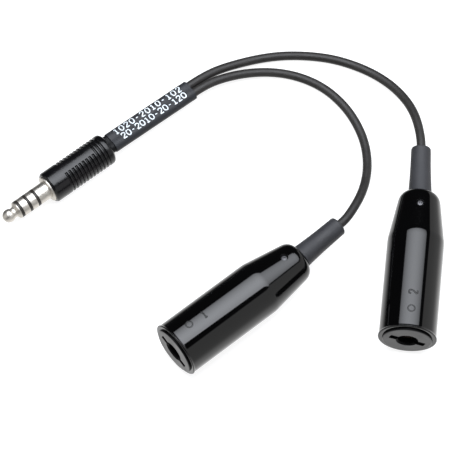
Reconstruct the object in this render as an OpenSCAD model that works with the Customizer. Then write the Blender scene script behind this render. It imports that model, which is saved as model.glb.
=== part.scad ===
// Two-way headset adapter cord: one four-contact plug, two in-line jacks, two thin cords.
// Millimetres. The adapter lies on the plane z = 0, +Z up, with the origin at the bottom
// centre of its box without the two free cords.

/* [Plug contacts] */
// Diameter of the contact finger, a standard size
finger_d = 7.13; // [7.0:0.01:7.2]
// Length of the finger from its flange to its tip
finger_len = 20.4; // [19.5:0.1:21.5]
// Diameter of the ball at the tip
ball_d = 5.2; // [4.8:0.1:5.6]
// Diameter of the neck behind the ball
neck_d = 4.1; // [3.6:0.1:4.4]
// Distance from the flange to the middle of the rear insulating collar
rear_collar_at = 5.45; // [5.0:0.05:5.6]
// Distance from the middle of one insulating collar to the next
collar_step = 3.85; // [3.7:0.05:4.0]
// Width of each insulating collar
collar_w = 1.2; // [0.8:0.1:1.3]
// Diameter of the flange between finger and handle
flange_d = 10.6; // [9.6:0.1:11.4]
// Thickness of the flange
flange_t = 1.0; // [0.6:0.1:1.4]

/* [Plug handle] */
// Outside diameter of the handle over its ribs
handle_d = 12.8; // [12.6:0.1:13.6]
// Length of the handle
handle_len = 29.0; // [28:0.5:32]
// Length of the smooth band at the front of the handle
handle_smooth = 7.2; // [6:0.1:9]
// Number of grip ribs
rib_count = 12; // [8:1:14]
// Distance from one rib to the next
rib_pitch = 1.61; // [1.2:0.01:1.7]
// Depth of the grooves between the ribs
rib_depth = 0.6; // [0.2:0.05:0.7]
// Width of the smooth panel across the first nine grooves, on top
panel_w = 5.1; // [4:0.1:6]
// Bore of the handle
handle_bore_d = 10.4; // [10.0:0.1:10.6]

/* [Jack shell] */
// Diameter of the lip round the socket face
lip_d = 22.2; // [22.0:0.1:22.6]
// Diameter of the straight barrel
barrel_d = 21.6; // [21.0:0.1:21.8]
// Where the flare of the lip ends, from the socket face
lip_end = 2.6; // [2.2:0.1:3.4]
// Where the taper starts, from the socket face
taper_at = 41.3; // [40:0.1:43]
// Where the taper ends
taper_end = 57.8; // [56:0.1:58.5]
// Diameter at the end of the taper
taper_d = 16.4; // [15.6:0.1:17]
// Whole length of the shell
shell_len = 61.4; // [61:0.1:63]
// Diameter of the flat rear end
rear_d = 10.4; // [10:0.1:11]
// Bore of the shell, where the contact insert slides and its front bushing turns
shell_bore_d = 18.8; // [18.6:0.1:19]

/* [Jack insert] */
// Bore of the socket
socket_d = 7.2; // [7.18:0.01:7.3]
// Depth of the socket from the face to the bottom of its passage
socket_depth = 21.4; // [21:0.1:22]
// Diameter of the slotted front bushing in the shell
bushing_d = 18.7; // [18.5:0.05:18.75]
// How far the bushing stands out of the shell's lip
bushing_out = 0.6; // [0.3:0.05:0.9]
// Diameter of the socket's mouth over its chamfer
mouth_d = 8.5; // [7.8:0.1:8.8]
// Where the bushing's front disc ends, inside
disc_t = 2.6; // [1.6:0.1:2.8]
// Length of the bushing
bushing_len = 7.6; // [6:0.1:9]
// Turn of the spanner slots from level
slot_turn = 19.5; // [-90:0.5:90]
// Length of the pair of spanner slots, end to end
slot_len = 14.0; // [12:0.1:15]
// Width of a spanner slot
slot_w = 2.5; // [1.2:0.1:2.8]
// Depth of a spanner slot
slot_depth = 1.2; // [0.8:0.1:1.2]
// Thickness of the contact springs
leaf_t = 0.4; // [0.3:0.05:0.5]
// Width of the contact springs
leaf_w = 2.4; // [2:0.1:2.6]

/* [Cords and sleeves] */
// Diameter of each cord
cord_d = 3.5; // [3.2:0.1:3.6]
// Diameter of a strain relief at the shell
relief_root_d = 9.2; // [8.6:0.1:9.2]
// Diameter of a strain relief along its free half
relief_end_d = 7.6; // [7:0.1:8]
// Length of a strain relief outside the shell
relief_len = 20.3; // [16:0.1:24]
// Length of the label sleeve
label_len = 39.2; // [34:0.1:42]
// Thickness of the label sleeve across both cords' top and bottom
label_h = 5.0; // [4.5:0.1:5]
// Length of the neck that shows between handle and label sleeve
neck_len = 1.8; // [1:0.1:4]
// Thickness of the neck sleeve
neck_h = 4.3; // [4.1:0.1:4.4]

/* [Layout] */
// Direction of the plug, handle front to rear, from +X
plug_turn = 38.5; // [30:0.5:45]
// Direction of the label sleeve from +X
sleeve_turn = 38.4; // [36:0.1:41]
// Slope of the label sleeve down to its free end
sleeve_dip = 1.8; // [0:0.1:3]
// Direction of jack A, socket to cord, from +X
jack_a_turn = 39.4; // [39:0.1:40]
// Direction of jack B from +X
jack_b_turn = 83.9; // [83.5:0.1:84.5]
// How far jack A's shell and screw are rolled to its left
jack_a_roll = 5.7; // [-10:0.1:10]
// How far jack B's shell and screw are rolled to its left
jack_b_roll = -2; // [-10:0.1:10]
// How far the strain relief of jack A leans out of the jack's line
relief_a_lean = 3.5; // [3:0.1:4]
// How far the strain relief of jack B leans
relief_b_lean = 3.2; // [2:0.1:3.5]

/* [Hidden] */

$fn = 96;
eps = 0.01;
slip = 0.05;        // radial clearance of nested and sliding round parts

finger_r = finger_d / 2;
barrel_r = barrel_d / 2;
lip_r = lip_d / 2;
cord_r = cord_d / 2;
bushing_r = bushing_d / 2;
shell_bore_r = shell_bore_d / 2;
socket_r = socket_d / 2;

// Places of the parts on the table
plug_place = [-66.36, 16.0, handle_d / 2];
jack_a_place = [-17.5, -54.8, lip_r];
jack_b_place = [69.65, -50.3, lip_r];
jack_dip = atan((lip_r - barrel_r) / taper_at);   // the shell lies on its lip and its barrel

// Unit vector at an angle from +X, sloping down by an angle
function heading(turn, dip) = [cos(turn) * cos(dip), sin(turn) * cos(dip), -sin(dip)];
// Unit vector level and square to a heading, on its left
function left_of(turn) = [-sin(turn), cos(turn), 0];

sleeve_shift = 0.65;        // the cords lie to the left in the hole of the handle
sleeve_place = plug_place + handle_len * heading(plug_turn, 0) + sleeve_shift * left_of(plug_turn);
sleeve_dir = heading(sleeve_turn, sleeve_dip);
sleeve_end = neck_len + label_len;
cord_side = cord_r + 0.01;          // half the distance between the two cords in the sleeve

function jack_point(place, turn, t) = place + t * heading(turn, jack_dip);
relief_a_root = jack_point(jack_a_place, jack_a_turn, shell_len);
relief_b_root = jack_point(jack_b_place, jack_b_turn, shell_len);
relief_a_dir = heading(jack_a_turn + relief_a_lean, jack_dip);
relief_b_dir = heading(jack_b_turn + relief_b_lean, jack_dip);

// Routes of the free cords: out of the label sleeve, down to the table, up to the relief
cord_a_start = sleeve_place + sleeve_end * sleeve_dir - cord_side * left_of(sleeve_turn);
cord_b_start = sleeve_place + sleeve_end * sleeve_dir + cord_side * left_of(sleeve_turn);
cord_a_end = relief_a_root + relief_len * relief_a_dir;
cord_b_end = relief_b_root + relief_len * relief_b_dir;
cord_a_route = [
    cord_a_start, cord_a_start + 3 * sleeve_dir,
    [-4, 63.5, 5], [2, 66.2, 4.3], [8.5, 68.3, 3.4], [15, 69.5, 2.6], [22, 69.7, 2],
    [29, 68.4, 1.8], [35.5, 65.8, 1.8], [41.5, 62, 1.8], [46.5, 57, 1.8], [50.6, 51.5, 1.8],
    [53.8, 45.1, 1.8], [55.9, 38.6, 2.1], [56.8, 31.5, 2.9], [56.6, 24.5, 4.4],
    [55.5, 18, 6.5], [53.7, 11.9, 8.5], [50.8, 5.8, 9.8],
    cord_a_end + 4 * relief_a_dir, cord_a_end
];
cord_b_route = [
    cord_b_start, cord_b_start + 4 * sleeve_dir,
    [-4, 68, 4.7], [2, 71, 3.9], [8.5, 73.6, 3], [15, 75.7, 2.3], [22, 77.1, 1.9],
    [29, 77.5, 1.8], [36, 77.1, 1.8], [43, 76.1, 1.8], [49.4, 74.2, 1.8], [56, 71.4, 1.9],
    [62, 67.6, 2.4], [67, 63, 3.4], [71, 57.5, 5], [74, 51.5, 7.1], [76, 45, 8.9],
    [77, 38.5, 10], cord_b_end + 3 * relief_b_dir, cord_b_end
];

// Angles of the four contacts round the axis, from the top
tip_at = 0;
front_ring_at = 90;
rear_ring_at = 180;
sleeve_at = 270;

// Stations along the plug, from the front of the handle, towards the cord
flange_s = -flange_t;
tip_end_s = flange_s - finger_len;
rear_collar_s = flange_s - rear_collar_at;
middle_collar_s = rear_collar_s - collar_step;
front_collar_s = middle_collar_s - collar_step;
ball_s = tip_end_s + ball_d / 2;
neck_s = ball_s + 2.3;
barrel_len = 6;              // the sleeve contact's barrel inside the handle
terminal_block_s = barrel_len + 0.6;
terminal_block_len = 3;
tag_end_s = 14;
cord_root_s = 19;            // where the cords' jackets are stripped
panel_turn = 8.5;            // how far the handle's panel is turned to the left of the top

// Stations along a jack, from the socket face, towards the cord
face_t = -0.15;              // the bushing's face
lip_t = face_t + bushing_out;
contact_ring_t = disc_t + 0.1;
contact_ring_end_t = 4.5;
block_flange_t = bushing_len + 0.4;
block_flange_end_t = block_flange_t + 1.5;
block_end_t = 27;
back_plate_end_t = 29;
tag_start_t = 27.3;
tag_end_t = 33;
cord_end_t = 48;             // where the cord's jacket is stripped
ferrule_t = 50.2;
ferrule_end_t = 56.8;
ferrule_r = 3.2;
screw_t = 54.1;
screw_r = 1.4;
screw_len = 4.85;
relief_flange_t = 57.1;      // the relief's flange bears on the shell's rear wall
relief_flange_r = 5.6;
relief_neck_r = 4.0;
rear_wall_t = 58.2;
insert_r = 8.4;              // the block and the back plate behind it
passage_r = socket_r + 0.2;  // the block is a little wider than the ring that guides the plug
rear_ring_contact_t = 7.4;
front_ring_contact_t = 11.2;
tip_contact_t = 15.6;
leaf_r = 5.2;
ring_contact_r = finger_r - 0.5;
tip_contact_r = neck_d / 2 - 0.05;

jack_black = "#101011";
grip_black = "#1b1b1c";
relief_grey = "#4d4d50";
cord_grey = "#3c3c3d";
nickel = "#cfc8bb";
brass = "#b89a5a";
insulator = "#17171a";
block_brown = "#5a3a22";
wire_red = "#8c1f1a";
screw_grey = "#8b8b8d";

// ---- placing ----
// Turns a part drawn along +Z, with +X as its top, to lie along +X with its top up
module lay() rotate([0, 90, 0]) rotate([0, 0, 180]) children();
module at_plug() translate(plug_place) rotate([0, 0, plug_turn]) lay() children();
module at_sleeve() translate(sleeve_place) rotate([0, sleeve_dip, sleeve_turn]) lay() children();
module at_jack(place, turn) translate(place) rotate([0, jack_dip, turn]) lay() children();
module rolled(roll) rotate([0, 0, -roll]) children();
module at_a() at_jack(jack_a_place, jack_a_turn) children();
module at_b() at_jack(jack_b_place, jack_b_turn) children();

// ---- shared shapes ----
// A turned tube from z0 to z1
module tube(r_in, r_out, z0, z1) {
    translate([0, 0, z0])
        difference() {
            cylinder(r = r_out, h = z1 - z0);
            translate([0, 0, -1]) cylinder(r = r_in, h = z1 - z0 + 2);
        }
}

// Flat outline that goes round two cords side by side
module flat_oval(height) {
    for (side = [-1, 1])
        translate([0, side * cord_side]) circle(d = height);
    square([height, 2 * cord_side], center = true);
}

module oval_tube(inner_h, outer_h, z0, z1) {
    translate([0, 0, z0])
        linear_extrude(z1 - z0)
            difference() {
                flat_oval(outer_h);
                flat_oval(inner_h);
            }
}

// A straight round wire between two points
module rod(from, to, d) {
    v = to - from;
    len = norm(v);
    translate(from)
        rotate([0, acos(v.z / len), atan2(v.y, v.x)])
            cylinder(d = d, h = len, $fn = 24);
}

// ---- cord sweep: a smoothed point, direction and ring at each route point ----
function smooth_point(p, i) =
    i == 0 || i == len(p) - 1 ? p[i] : (p[i - 1] + 4 * p[i] + p[i + 1]) / 6;
function unit(v) = v / norm(v);
function route_dir(p, i) =
    unit(p[min(i + 1, len(p) - 1)] - p[max(i - 1, 0)]);
function ring(p, i, r, sides) =
    let (c = smooth_point(p, i), d = route_dir(p, i),
         side = unit(cross(d, [0, 0, 1])), up = cross(side, d))
    [for (k = [0:sides - 1])
        let (a = (k + 0.5) * 360 / sides) c + r * (cos(a) * side + sin(a) * up)];

module swept_cord(p, r, sides = 8) {
    n = len(p);
    points = [for (i = [0:n - 1]) each ring(p, i, r, sides)];
    walls = [for (i = [0:n - 2], k = [0:sides - 1])
        let (m = (k + 1) % sides)
        each [[i * sides + k, (i + 1) * sides + k, i * sides + m],
              [i * sides + m, (i + 1) * sides + k, (i + 1) * sides + m]]];
    near_cap = [for (k = [0:sides - 1]) k];
    far_cap = [for (k = [sides - 1:-1:0]) (n - 1) * sides + k];
    polyhedron(points, concat([near_cap], walls, [far_cap]), convexity = 6);
}

// ---- plug ----
plug_tube_wall = 0.42;
rod_r = 0.8;
tube_gap = 0.03;
front_collar_r = rod_r + tube_gap;
front_ring_r = front_collar_r + plug_tube_wall + tube_gap;
middle_collar_r = front_ring_r + plug_tube_wall + tube_gap;
rear_ring_r = middle_collar_r + plug_tube_wall + tube_gap;
rear_collar_r = rear_ring_r + plug_tube_wall + tube_gap;
sleeve_contact_r = rear_collar_r + plug_tube_wall + tube_gap;

// A contact or collar: a full-diameter band with a thin tube running back into the handle
module banded_tube(r_in, z0, z1, back) {
    rotate_extrude()
        polygon([[r_in, z0], [finger_r, z0], [finger_r, z1],
                 [r_in + plug_tube_wall, z1], [r_in + plug_tube_wall, back], [r_in, back]]);
}

module plug_tip() {
    ball_r = ball_d / 2;
    cone_r = finger_r - 0.2;
    color(nickel) at_plug() {
        translate([0, 0, ball_s]) sphere(r = ball_r);
        rotate_extrude()
            polygon([[0, ball_s], [neck_d / 2, ball_s + 1], [neck_d / 2, neck_s + 0.5],
                     [cone_r, front_collar_s - collar_w / 2 - 0.4],
                     [cone_r, front_collar_s - collar_w / 2],
                     [rod_r, front_collar_s - collar_w / 2], [rod_r, 11], [0, 11]]);
    }
}
module plug_front_ring() color(nickel) at_plug()
    banded_tube(front_ring_r, front_collar_s + collar_w / 2, middle_collar_s - collar_w / 2, 7.5);
module plug_rear_ring() color(nickel) at_plug()
    banded_tube(rear_ring_r, middle_collar_s + collar_w / 2, rear_collar_s - collar_w / 2, 5.5);
module plug_front_collar() color(insulator) at_plug()
    banded_tube(front_collar_r, front_collar_s - collar_w / 2, front_collar_s + collar_w / 2, 9);
module plug_middle_collar() color(insulator) at_plug()
    banded_tube(middle_collar_r, middle_collar_s - collar_w / 2, middle_collar_s + collar_w / 2, 6.5);
module plug_rear_collar() color(insulator) at_plug()
    banded_tube(rear_collar_r, rear_collar_s - collar_w / 2, rear_collar_s + collar_w / 2, 4.5);

// Sleeve contact: finger tube, flange against the handle, and the barrel that the handle screws on
module plug_sleeve_contact() color(nickel) at_plug()
    rotate_extrude()
        polygon([[sleeve_contact_r, rear_collar_s + collar_w / 2],
                 [finger_r, rear_collar_s + collar_w / 2], [finger_r, flange_s],
                 [flange_d / 2 - 0.3, flange_s], [flange_d / 2, flange_s + 0.3],
                 [flange_d / 2, 0], [handle_bore_d / 2 - slip, 0],
                 [handle_bore_d / 2 - slip, barrel_len], [sleeve_contact_r, barrel_len]]);

block_hole_r = front_ring_r + plug_tube_wall + 0.1;
module plug_terminal_block() color(block_brown) at_plug()
    tube(block_hole_r, handle_bore_d / 2 - 0.2, terminal_block_s, terminal_block_s + terminal_block_len);

// Three tags stand on the terminal block; the tip's own rod is the fourth
module plug_solder_tags() {
    start = terminal_block_s + terminal_block_len;
    color(brass) at_plug()
        for (a = [front_ring_at, rear_ring_at, sleeve_at])
            rotate([0, 0, a]) translate([3.2, -0.8, start]) cube([0.4, 1.6, tag_end_s - start]);
}

// Each cord sends one core to each contact: [angle, distance from the axis, start station]
core_starts = [[tip_at, 0.1, 11.2], [front_ring_at, 3.4, tag_end_s + 0.3],
               [rear_ring_at, 3.4, tag_end_s + 0.3], [sleeve_at, 3.4, tag_end_s + 0.3]];
module plug_wires() color(wire_red) at_plug()
    for (side = [-1, 1], c = core_starts) {
        along = [cos(c[0]), sin(c[0]), 0];
        across = [-sin(c[0]), cos(c[0]), 0];
        rod(c[1] * along + side * 0.4 * across + [0, 0, c[2]],
            [0, side * cord_side - sleeve_shift, cord_root_s - 0.25] + 0.75 * along, 0.7);
    }

module plug_cord_clamp() color(brass) at_sleeve()
    oval_tube(cord_d + 0.02, cord_d + 0.9, -9, -6.6);

// The handle, turned, with grip grooves and an oval hole for the two cords. The first nine
// grooves stop at a smooth panel on top.
module groove(i) {
    r = handle_d / 2;
    s = handle_smooth + i * rib_pitch;
    out = 0.3;
    run = rib_pitch * 0.18 * out / rib_depth;
    rotate_extrude()
        polygon([[r + out, s - run], [r - rib_depth, s + rib_pitch * 0.18],
                 [r - rib_depth, s + rib_pitch * 0.42], [r + out, s + rib_pitch * 0.6 + run]]);
}
module plug_handle() {
    r = handle_d / 2;
    end_r = 3.2;
    round_len = 1.8;
    rear = [for (a = [0:15:75])
        [r - end_r * (1 - cos(a)), handle_len - round_len * (1 - sin(a))]];
    inner_end = handle_len - 2.2;
    color(grip_black) at_plug() difference() {
        rotate_extrude()
            polygon(concat([[handle_bore_d / 2, 0], [r - 0.5, 0], [r, 0.7]], rear,
                           [[r - 3.1, handle_len], [0, handle_len],
                            [0, inner_end], [handle_bore_d / 2, inner_end]]));
        translate([0, 0, inner_end - 1]) linear_extrude(5) flat_oval(neck_h + 1.6);
        for (i = [0:8]) difference() {
            groove(i);
            rotate([0, 0, -panel_turn])
                translate([0, -panel_w / 2, 0]) cube([handle_d, panel_w, handle_len]);
        }
        for (i = [9:rib_count - 1]) groove(i);
    }
}

// ---- sleeves over both cords ----
module neck_sleeve() color(relief_grey) at_sleeve()
    oval_tube(cord_d + 0.06, neck_h, -5.6, neck_len);
module label_sleeve() color(relief_grey) at_sleeve()
    oval_tube(cord_d + 0.06, label_h, neck_len, sleeve_end);

module cord_root(side) color(cord_grey) at_sleeve()
    translate([0, side * cord_side, cord_root_s - handle_len])
        cylinder(r = cord_r, h = handle_len - cord_root_s + sleeve_end, $fn = 48);
module cord_a_root() cord_root(1);
module cord_b_root() cord_root(-1);
module cord_a() color(cord_grey) swept_cord(cord_a_route, cord_r);
module cord_b() color(cord_grey) swept_cord(cord_b_route, cord_r);

// ---- jack ----
// Moulded shell, one turned wall: lip, barrel, taper and rounded rear end
module shell() {
    shoulder = [for (a = [0:15:90])
        [rear_d / 2 + (taper_d - rear_d) / 2 * cos(a),
         taper_end + (shell_len - taper_end) * sin(a)]];
    outer = concat([[lip_r - 0.3, lip_t], [lip_r - 0.08, lip_t + 0.1], [lip_r, lip_t + 0.3],
                    [barrel_r, lip_end], [barrel_r, taper_at]], shoulder);
    inner = [[relief_neck_r + slip, shell_len], [relief_neck_r + slip, rear_wall_t],
             [taper_d / 2 - 1.6, rear_wall_t], [shell_bore_r, taper_at - 1],
             [shell_bore_r, lip_t]];
    color(jack_black) difference() {
        rotate_extrude($fn = 144) polygon(concat(outer, inner));
        translate([0, 0, screw_t]) rotate([0, 90, 0]) cylinder(r = screw_r + slip, h = 12, $fn = 48);
    }
}

// Front bushing: a disc with the socket's mouth and two spanner slots, and a threaded skirt
module bushing() {
    skirt_r = 7.6;
    color(jack_black) difference() {
        rotate_extrude()
            polygon([[mouth_d / 2, face_t], [bushing_r - 0.25, face_t],
                     [bushing_r, face_t + 0.25], [bushing_r, bushing_len],
                     [skirt_r, bushing_len], [skirt_r, disc_t], [socket_r, disc_t],
                     [socket_r, 0.5]]);
        rotate([0, 0, slot_turn])
            translate([-slot_w / 2, -slot_len / 2, face_t - 1])
                cube([slot_w, slot_len, slot_depth + 1]);
    }
}

// Sleeve contact: the metal ring behind the bushing and the strap that leads back from it
contact_ring_r = 5.3;
module sleeve_contact() color(nickel) {
    tube(socket_r, contact_ring_r, contact_ring_t, contact_ring_end_t);
    rotate([0, 0, sleeve_at])
        translate([contact_ring_r - leaf_t, -leaf_w / 2, contact_ring_end_t - 0.5])
            cube([leaf_t, leaf_w, tag_start_t - contact_ring_end_t + 0.5]);
}

// Contact block: guides the plug, and holds one spring or strap in each of its four channels
module block() {
    nose_r = 7.5;
    channel_w = leaf_w + 0.4;
    color(block_brown) difference() {
        rotate_extrude()
            polygon([[contact_ring_r + slip, contact_ring_t], [nose_r, contact_ring_t],
                     [nose_r, block_flange_t], [shell_bore_r - slip, block_flange_t],
                     [shell_bore_r - slip, block_flange_end_t], [insert_r, block_flange_end_t],
                     [insert_r, block_end_t], [0, block_end_t], [0, socket_depth],
                     [passage_r, socket_depth], [passage_r, contact_ring_end_t + slip],
                     [contact_ring_r + slip, contact_ring_end_t + slip]]);
        for (c = [[tip_at, tip_contact_t], [front_ring_at, front_ring_contact_t],
                  [rear_ring_at, rear_ring_contact_t]])
            rotate([0, 0, c[0]]) {
                translate([4.4, -channel_w / 2, c[1] - 2.2]) cube([2.4, channel_w, block_end_t]);
                translate([0, -channel_w / 2, c[1] - 1.2]) cube([5, channel_w, 3]);
            }
        rotate([0, 0, sleeve_at]) translate([4.6, -channel_w / 2, contact_ring_end_t - 1])
            cube([1, channel_w, block_end_t]);
    }
}

module tag_slots() {
    for (a = [tip_at, front_ring_at, rear_ring_at, sleeve_at])
        rotate([0, 0, a]) translate([leaf_r - 0.35, -leaf_w / 2 - 0.05, block_end_t - 1])
            cube([0.7, leaf_w + 0.1, 4]);
}
module back_plate() color(insulator) difference() {
    translate([0, 0, block_end_t + eps]) cylinder(r = insert_r, h = back_plate_end_t - block_end_t);
    tag_slots();
}
module solder_tags() color(brass)
    for (a = [tip_at, front_ring_at, rear_ring_at, sleeve_at])
        rotate([0, 0, a]) translate([leaf_r - leaf_t / 2, -leaf_w / 2, tag_start_t])
            cube([leaf_t, leaf_w, tag_end_t - tag_start_t]);

// Flat outline of a bent strip: its line of bends, offset to both sides with mitred corners
function normal_of(p, i) = let (v = unit(p[i + 1] - p[i])) [-v.y, v.x];
function corner(p, i, h) =
    let (last = len(p) - 1, a = normal_of(p, max(i - 1, 0)),
         b = normal_of(p, min(i, last - 1)), m = unit(a + b))
    p[i] + m * h / (m * a);
module strip(p, w) {
    n = len(p);
    polygon(concat([for (i = [0:n - 1]) corner(p, i, w / 2)],
                   [for (i = [n - 1:-1:0]) corner(p, i, -w / 2)]));
}

// A contact spring: anchored at the back, bent in to its contact point, turned up at its nose
module leaf(contact_t, contact_r) {
    line = [[leaf_r, block_end_t - 0.2], [leaf_r, contact_t + 2],
            [contact_r + leaf_t / 2, contact_t + 0.2], [contact_r + leaf_t / 2, contact_t - 0.2],
            [contact_r + 1.3, contact_t - 0.9]];
    color(nickel) rotate([90, 0, 0])
        translate([0, 0, -leaf_w / 2]) linear_extrude(leaf_w) strip(line, leaf_t);
}
module tip_spring() rotate([0, 0, tip_at]) leaf(tip_contact_t, tip_contact_r);
module front_ring_spring() rotate([0, 0, front_ring_at]) leaf(front_ring_contact_t, ring_contact_r);
module rear_ring_spring() rotate([0, 0, rear_ring_at]) leaf(rear_ring_contact_t, ring_contact_r);

module jack_wires() color(wire_red)
    for (a = [tip_at, front_ring_at, rear_ring_at, sleeve_at])
        rotate([0, 0, a]) rod([leaf_r, 0, tag_end_t + 0.25], [0.85, 0, cord_end_t - 0.25], 0.9);

// The cord, its ferrule and the free part of the relief share one line, which leans a little
module lean_at_root(lean) translate([0, 0, shell_len]) rotate([lean, 0, 0]) children();
module cord_end(lean) color(cord_grey) lean_at_root(lean)
    translate([0, 0, cord_end_t - shell_len])
        cylinder(r = cord_r, h = shell_len - cord_end_t + relief_len, $fn = 48);
module ferrule(lean) color(brass) lean_at_root(lean)
    tube(cord_r + 0.02, ferrule_r, ferrule_t - shell_len, ferrule_end_t - shell_len);
module clamp_screw() color(screw_grey)
    translate([0, 0, screw_t]) rotate([0, 90, 0])
        translate([0, 0, ferrule_r + slip]) cylinder(r = screw_r, h = screw_len, $fn = 48);
module strain_relief(lean) {
    root_r = relief_root_d / 2;
    end_r = relief_end_d / 2;
    waist_r = end_r + 0.2;
    lift = 0.35;    // keeps the leaning cone clear of the shell's rear face
    color(relief_grey) difference() {
        union() {
            translate([0, 0, relief_flange_t]) cylinder(r = relief_flange_r, h = 1.0);
            translate([0, 0, relief_flange_t + 0.4])
                cylinder(r = relief_neck_r, h = shell_len - relief_flange_t + 0.6);
            lean_at_root(lean) rotate_extrude()
                polygon([[0, lift], [root_r, lift], [root_r - 0.2, relief_len * 0.12],
                         [waist_r, relief_len * 0.48], [end_r, relief_len - 0.8],
                         [end_r - 0.25, relief_len - 0.25], [end_r - 0.8, relief_len],
                         [0, relief_len]]);
        }
        lean_at_root(lean) translate([0, 0, -8])
            cylinder(r = cord_r + 0.02, h = relief_len + 9, $fn = 48);
    }
}

module jack_a_shell() at_a() rolled(jack_a_roll) shell();
module jack_a_bushing() at_a() bushing();
module jack_a_sleeve_contact() at_a() sleeve_contact();
module jack_a_block() at_a() block();
module jack_a_back_plate() at_a() back_plate();
module jack_a_tip_spring() at_a() tip_spring();
module jack_a_front_ring_spring() at_a() front_ring_spring();
module jack_a_rear_ring_spring() at_a() rear_ring_spring();
module jack_a_solder_tags() at_a() solder_tags();
module jack_a_wires() at_a() jack_wires();
module jack_a_cord_end() at_a() cord_end(relief_a_lean);
module jack_a_ferrule() at_a() ferrule(relief_a_lean);
module jack_a_clamp_screw() at_a() rolled(jack_a_roll) clamp_screw();
module jack_a_strain_relief() at_a() strain_relief(relief_a_lean);

module jack_b_shell() at_b() rolled(jack_b_roll) shell();
module jack_b_bushing() at_b() bushing();
module jack_b_sleeve_contact() at_b() sleeve_contact();
module jack_b_block() at_b() block();
module jack_b_back_plate() at_b() back_plate();
module jack_b_tip_spring() at_b() tip_spring();
module jack_b_front_ring_spring() at_b() front_ring_spring();
module jack_b_rear_ring_spring() at_b() rear_ring_spring();
module jack_b_solder_tags() at_b() solder_tags();
module jack_b_wires() at_b() jack_wires();
module jack_b_cord_end() at_b() cord_end(relief_b_lean);
module jack_b_ferrule() at_b() ferrule(relief_b_lean);
module jack_b_clamp_screw() at_b() rolled(jack_b_roll) clamp_screw();
module jack_b_strain_relief() at_b() strain_relief(relief_b_lean);

plug_tip();
plug_front_ring();
plug_rear_ring();
plug_sleeve_contact();
plug_front_collar();
plug_middle_collar();
plug_rear_collar();
plug_terminal_block();
plug_solder_tags();
plug_wires();
plug_cord_clamp();
plug_handle();
neck_sleeve();
label_sleeve();
cord_a_root();
cord_b_root();
cord_a();
cord_b();
jack_a_shell();
jack_a_bushing();
jack_a_sleeve_contact();
jack_a_block();
jack_a_back_plate();
jack_a_tip_spring();
jack_a_front_ring_spring();
jack_a_rear_ring_spring();
jack_a_solder_tags();
jack_a_wires();
jack_a_cord_end();
jack_a_ferrule();
jack_a_clamp_screw();
jack_a_strain_relief();
jack_b_shell();
jack_b_bushing();
jack_b_sleeve_contact();
jack_b_block();
jack_b_back_plate();
jack_b_tip_spring();
jack_b_front_ring_spring();
jack_b_rear_ring_spring();
jack_b_solder_tags();
jack_b_wires();
jack_b_cord_end();
jack_b_ferrule();
jack_b_clamp_screw();
jack_b_strain_relief();
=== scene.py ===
"""Looks of a two-way headset adapter cord: a four-contact plug, a marked sleeve, two thin cords
and two in-line jacks, laid on a pale table. Sizes are in millimetres where nothing else is said,
and `mm` turns them into metres."""

import bmesh
import bpy
import numpy as np
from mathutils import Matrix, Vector


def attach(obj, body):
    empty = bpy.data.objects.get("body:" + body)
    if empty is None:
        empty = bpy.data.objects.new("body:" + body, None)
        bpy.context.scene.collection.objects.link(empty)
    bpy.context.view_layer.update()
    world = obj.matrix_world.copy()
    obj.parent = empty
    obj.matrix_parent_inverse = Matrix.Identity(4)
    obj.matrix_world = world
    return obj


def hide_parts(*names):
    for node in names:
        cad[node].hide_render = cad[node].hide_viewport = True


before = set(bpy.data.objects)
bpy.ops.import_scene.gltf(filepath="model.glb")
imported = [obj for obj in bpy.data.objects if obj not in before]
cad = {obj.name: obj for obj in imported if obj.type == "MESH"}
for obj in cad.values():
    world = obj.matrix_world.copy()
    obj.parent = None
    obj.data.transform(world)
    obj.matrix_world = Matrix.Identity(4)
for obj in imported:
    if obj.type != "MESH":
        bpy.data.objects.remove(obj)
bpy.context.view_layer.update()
scene = bpy.context.scene
mm = 0.001

# ---- Camera ----
# A long lens looks down at the adapter, from the side that the two sockets face.
camera_rise = np.radians(63.3)
camera_distance = 1.2
camera_aim = Vector((0.0016, 0.0035, 0.0))
camera = bpy.data.objects.new("camera", bpy.data.cameras.new("camera"))
camera.data.sensor_width = 36.0
camera.data.lens = 249.6
camera.location = camera_aim + camera_distance * Vector(
    (0, -np.cos(camera_rise), np.sin(camera_rise)))
camera.rotation_euler = (np.pi / 2 - camera_rise, 0, 0)
scene.collection.objects.link(camera)
scene.camera = camera
scene.view_settings.view_transform = "Standard"

# ---- Table and light ----
# The adapter lies on a clear sheet over a lit white one: light from below fills the undersides,
# while the camera sees a plain pale top with hardly a shadow on it. One soft box hangs over it, a
# little behind. A white wall stands on the right and in front, and a white board on the left; the
# rest of the room is nearly dark.
table_half, table_drop = 3.0, 1e-5


def set_sockets(node, values):
    """Sets a node's input sockets by their names."""
    for socket, value in values.items():
        node.inputs[socket].default_value = value


table_mesh = bpy.data.meshes.new("table")
table_corners = [(-1, -1), (1, -1), (1, 1), (-1, 1)]
table_mesh.from_pydata([(x * table_half, y * table_half, -table_drop) for x, y in table_corners],
                       [], [(0, 1, 2, 3)])
table_top = bpy.data.objects.new("table", table_mesh)
scene.collection.objects.link(table_top)
table_paint = bpy.data.materials.new("table_paint")
table_paint.use_nodes = True
table_nodes, table_links = table_paint.node_tree.nodes, table_paint.node_tree.links
table_shader = table_nodes["Principled BSDF"]
set_sockets(table_shader, {"Roughness": 0.75, "Specular IOR Level": 0.2,
                           "Emission Color": (1.0, 1.0, 1.0, 1.0), "Emission Strength": 0.85})
table_place = table_nodes.new("ShaderNodeTexCoord")
table_grain = table_nodes.new("ShaderNodeTexNoise")
set_sockets(table_grain, {"Scale": 40.0})
table_tone = table_nodes.new("ShaderNodeMapRange")
set_sockets(table_tone, {"To Min": 0.30, "To Max": 0.33})
table_rays = table_nodes.new("ShaderNodeLightPath")
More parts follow.
